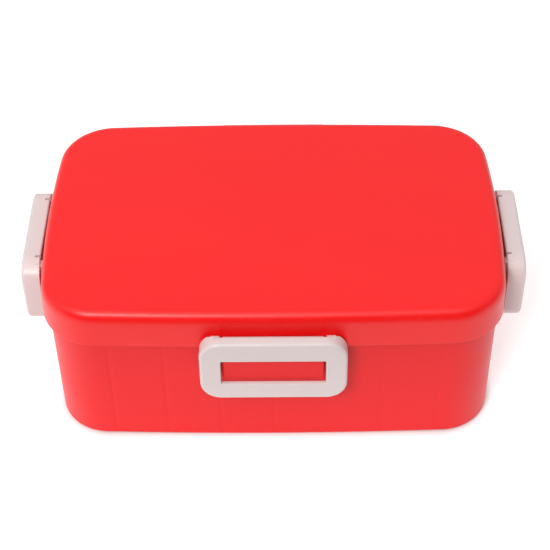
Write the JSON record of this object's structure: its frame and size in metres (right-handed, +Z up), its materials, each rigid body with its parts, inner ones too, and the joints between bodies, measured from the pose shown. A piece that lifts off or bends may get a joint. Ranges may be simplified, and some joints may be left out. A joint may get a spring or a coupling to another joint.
{
  "type": "lunch box",
  "caption": "Rectangular plastic lunch box with rounded corners, an overlapping lid with a gasket, a locking latch on every side and a loose divider inside",
  "frame": {"origin": "under the middle of the box, on the surface that it stands on", "axes": "+X along the length of the box, +Z up, the front latch on the -Y side"},
  "size_m": [0.1964, 0.1306, 0.0704],
  "materials": {
    "container_plastic": "red polypropylene, satin",
    "lid_plastic": "red polypropylene, fine satin",
    "latch_plastic": "pinkish pale grey ABS, satin",
    "silicone": "translucent white silicone, matt",
    "divider_plastic": "milky white polypropylene, satin"
  },
  "bodies": {
    "container_body": {"container": "container_plastic"},
    "lid_body": {"lid": "lid_plastic", "gasket": "silicone"},
    "front_latch_body": {"front_latch": "latch_plastic"},
    "rear_latch_body": {"rear_latch": "latch_plastic"},
    "left_latch_body": {"left_latch": "latch_plastic"},
    "right_latch_body": {"right_latch": "latch_plastic"},
    "divider_body": {"divider": "divider_plastic"}
  },
  "joints": [
    {"name": "lid_lift", "type": "slide", "parent": "container_body", "child": "lid_body", "axis": [0, 0, 1], "range_m": [0, 0.13]},
    {"name": "front_latch_hinge", "type": "hinge", "parent": "lid_body", "child": "front_latch_body", "pos_m": [0, -0.0607, 0.0609], "axis": [-1, 0, 0], "range_deg": [-3, 95]},
    {"name": "rear_latch_hinge", "type": "hinge", "parent": "lid_body", "child": "rear_latch_body", "pos_m": [0, 0.0607, 0.0609], "axis": [1, 0, 0], "range_deg": [-3, 95]},
    {"name": "left_latch_hinge", "type": "hinge", "parent": "lid_body", "child": "left_latch_body", "pos_m": [-0.0926, 0, 0.0609], "axis": [0, 1, 0], "range_deg": [-3, 95]},
    {"name": "right_latch_hinge", "type": "hinge", "parent": "lid_body", "child": "right_latch_body", "pos_m": [0.0926, 0, 0.0609], "axis": [0, -1, 0], "range_deg": [-3, 95]},
    {"name": "divider_lift", "type": "slide", "parent": "container_body", "child": "divider_body", "axis": [0, 0, 1], "range_m": [0, 0.065]}
  ],
  "couplings": [
    {"joint": "divider_lift", "follows": "lid_lift", "ratio": 0.5}
  ]
}
